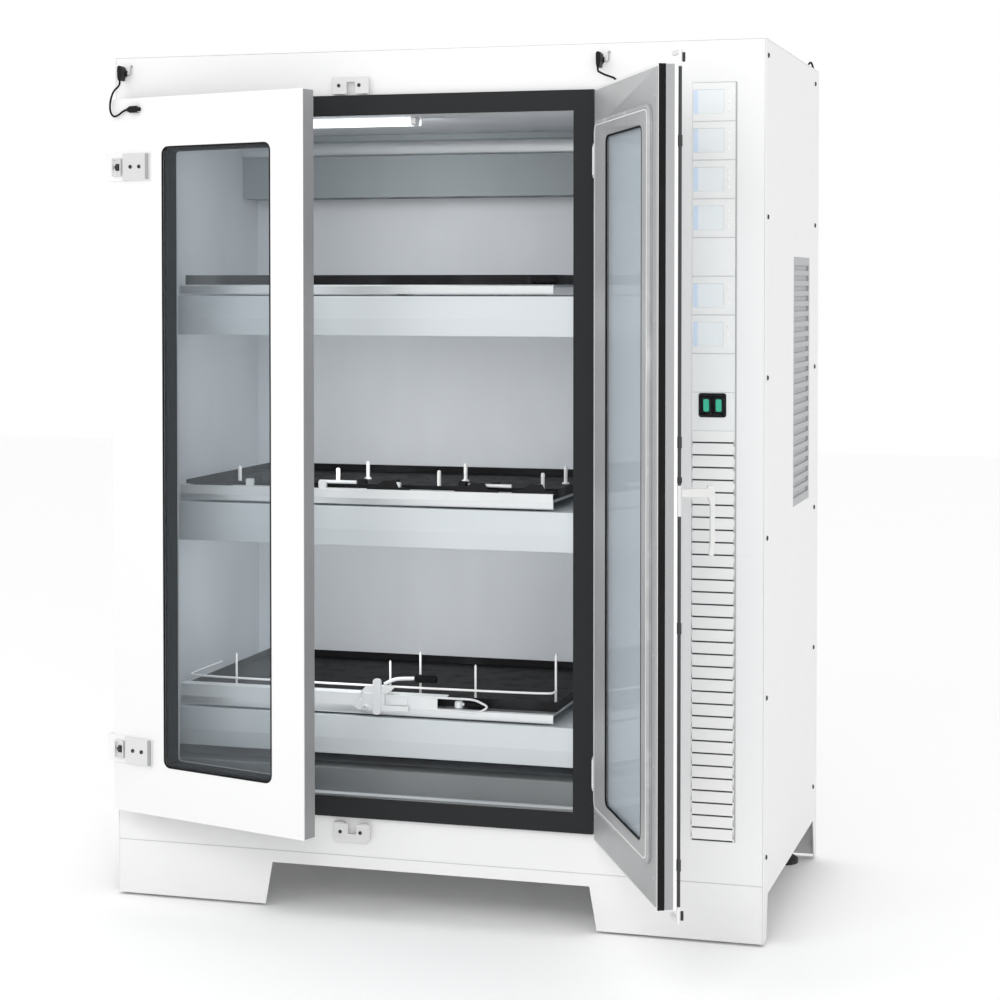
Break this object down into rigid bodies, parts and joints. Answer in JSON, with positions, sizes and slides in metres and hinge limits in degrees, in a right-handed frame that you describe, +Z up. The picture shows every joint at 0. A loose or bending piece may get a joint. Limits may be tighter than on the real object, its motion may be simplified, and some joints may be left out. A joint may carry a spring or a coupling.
{
  "type": "laboratory incubator",
  "caption": "Floor-standing shaking incubator with a glazed double-door chamber, stacked orbital shaker trays, a louvred service column and a slim control strip.",
  "frame": {"origin": "on the floor, under the middle of the box round everything but the door leads, doors as stored", "axes": "+Z up, -Y out of the front, +X to the right as the doors are faced"},
  "size_m": [1.518, 1.326, 1.95],
  "materials": {
    "white": "white powder coat",
    "inner_steel": "brushed stainless",
    "steel": "plain steel",
    "carrier": "milled aluminium",
    "housing": "pale grey paint",
    "grille": "grey paint",
    "seal": "charcoal",
    "motor": "black paint",
    "tray": "black coat",
    "black_plastic": "black grip",
    "lock_metal": "black coat",
    "handle": "white",
    "rubber": "black rubber",
    "glass": "double glazing",
    "foam": "rigid foam",
    "lamp": "opal diffuser",
    "rocker": "green lens"
  },
  "bodies": {
    "cabinet": {"back_panel": "white", "base_deck": "steel", "ceiling_lamp": "lamp", "chamber_liner": "inner_steel", "control_panel": "white", "controller_box": "grille", "cooling_unit": "motor", "drive_housing_1": "housing", "drive_housing_2": "housing", "drive_housing_3": "housing", "drive_motor_1": "motor", "drive_motor_2": "motor", "drive_motor_3": "motor", "duct_cover": "inner_steel", "fan_motor": "motor", "foot_back_left": "grille", "foot_back_right": "grille", "foot_front_left": "grille", "foot_front_right": "grille", "front_fascia": "white", "front_skirt": "white", "heater": "steel", "insulation_shell": "foam", "left_door_lead": "rubber", "left_side_panel": "white", "louvre_panel": "white", "power_unit": "grille", "right_door_lead": "rubber", "right_side_panel": "white", "seal_frame": "seal", "side_vent": "grille", "striker_bottom": "steel", "striker_top": "steel", "top_panel": "white"},
    "left_door": {"left_door_shell": "white", "left_door_liner": "inner_steel", "left_door_glass": "glass", "left_door_gasket": "rubber"},
    "right_door": {"right_door_shell": "white", "right_door_liner": "inner_steel", "right_door_glass": "glass", "right_door_gasket": "rubber"},
    "door_lock": {"lock_rod": "lock_metal", "door_handle": "handle"},
    "fan": {"fan_impeller": "steel"},
    "rocker_left": {"rocker_1": "rocker"},
    "rocker_right": {"rocker_2": "rocker"},
    "crank_1": {"crank_1": "steel"},
    "platform_1": {"tray_carrier_1": "carrier", "tray_1": "tray"},
    "tray_lever_1": {"tray_lock_1": "black_plastic"},
    "crank_2": {"crank_2": "steel"},
    "platform_2": {"tray_carrier_2": "carrier", "tray_2": "tray"},
    "tray_lever_2": {"tray_lock_2": "black_plastic"},
    "crank_3": {"crank_3": "steel"},
    "platform_3": {"tray_carrier_3": "carrier", "tray_3": "tray"},
    "tray_lever_3": {"tray_lock_3": "black_plastic"}
  },
  "joints": [
    {"name": "left_door_swing", "type": "hinge", "parent": "cabinet", "child": "left_door", "pos_m": [-0.7485, -0.152, 1.03], "axis": [0, 0, -1], "range_deg": [-16.4, 101.6], "deforming": ["left_door_lead"]},
    {"name": "right_door_swing", "type": "hinge", "parent": "cabinet", "child": "right_door", "pos_m": [0.3905, -0.152, 1.03], "axis": [0, 0, 1], "range_deg": [-116.5, 1.5], "deforming": ["right_door_lead"]},
    {"name": "door_lock_turn", "type": "hinge", "parent": "right_door", "child": "door_lock", "pos_m": [0.67706, -0.64046, 1.03], "axis": [0, 0, 1], "range_deg": [0, 90]},
    {"name": "fan_spin", "type": "hinge", "parent": "cabinet", "child": "fan", "pos_m": [-0.179, 0.508, 1.72385], "axis": [0, 1, 0], "continuous": true},
    {"name": "crank_1_spin", "type": "hinge", "parent": "cabinet", "child": "crank_1", "pos_m": [-0.179, 0.222, 1.405], "axis": [0, 0, 1], "continuous": true},
    {"name": "platform_1_orbit", "type": "hinge", "parent": "crank_1", "child": "platform_1", "pos_m": [-0.1665, 0.222, 1.414], "axis": [0, 0, 1], "continuous": true},
    {"name": "tray_lock_1_turn", "type": "hinge", "parent": "platform_1", "child": "tray_lever_1", "pos_m": [0.213, -0.044, 1.432], "axis": [0, 0, -1], "range_deg": [0, 60]},
    {"name": "crank_2_spin", "type": "hinge", "parent": "cabinet", "child": "crank_2", "pos_m": [-0.179, 0.222, 0.9245], "axis": [0, 0, 1], "continuous": true},
    {"name": "platform_2_orbit", "type": "hinge", "parent": "crank_2", "child": "platform_2", "pos_m": [-0.1665, 0.222, 0.9335], "axis": [0, 0, 1], "continuous": true},
    {"name": "tray_lock_2_turn", "type": "hinge", "parent": "platform_2", "child": "tray_lever_2", "pos_m": [0.213, -0.044, 0.9515], "axis": [0, 0, -1], "range_deg": [0, 60]},
    {"name": "crank_3_spin", "type": "hinge", "parent": "cabinet", "child": "crank_3", "pos_m": [-0.179, 0.222, 0.444], "axis": [0, 0, 1], "continuous": true},
    {"name": "platform_3_orbit", "type": "hinge", "parent": "crank_3", "child": "platform_3", "pos_m": [-0.1665, 0.222, 0.453], "axis": [0, 0, 1], "continuous": true},
    {"name": "tray_lock_3_turn", "type": "hinge", "parent": "platform_3", "child": "tray_lever_3", "pos_m": [0.047, -0.044, 0.471], "axis": [0, 0, -1], "range_deg": [0, 60]},
    {"name": "rocker_left_tilt", "type": "hinge", "parent": "cabinet", "child": "rocker_left", "pos_m": [0.6315, -0.13, 1.165], "axis": [-1, 0, 0], "range_deg": [0, 12]},
    {"name": "rocker_right_tilt", "type": "hinge", "parent": "cabinet", "child": "rocker_right", "pos_m": [0.6585, -0.13, 1.165], "axis": [-1, 0, 0], "range_deg": [0, 12]}
  ],
  "couplings": [
    {"joint": "platform_1_orbit", "follows": "crank_1_spin", "ratio": -1},
    {"joint": "platform_2_orbit", "follows": "crank_2_spin", "ratio": -1},
    {"joint": "platform_3_orbit", "follows": "crank_3_spin", "ratio": -1}
  ]
}
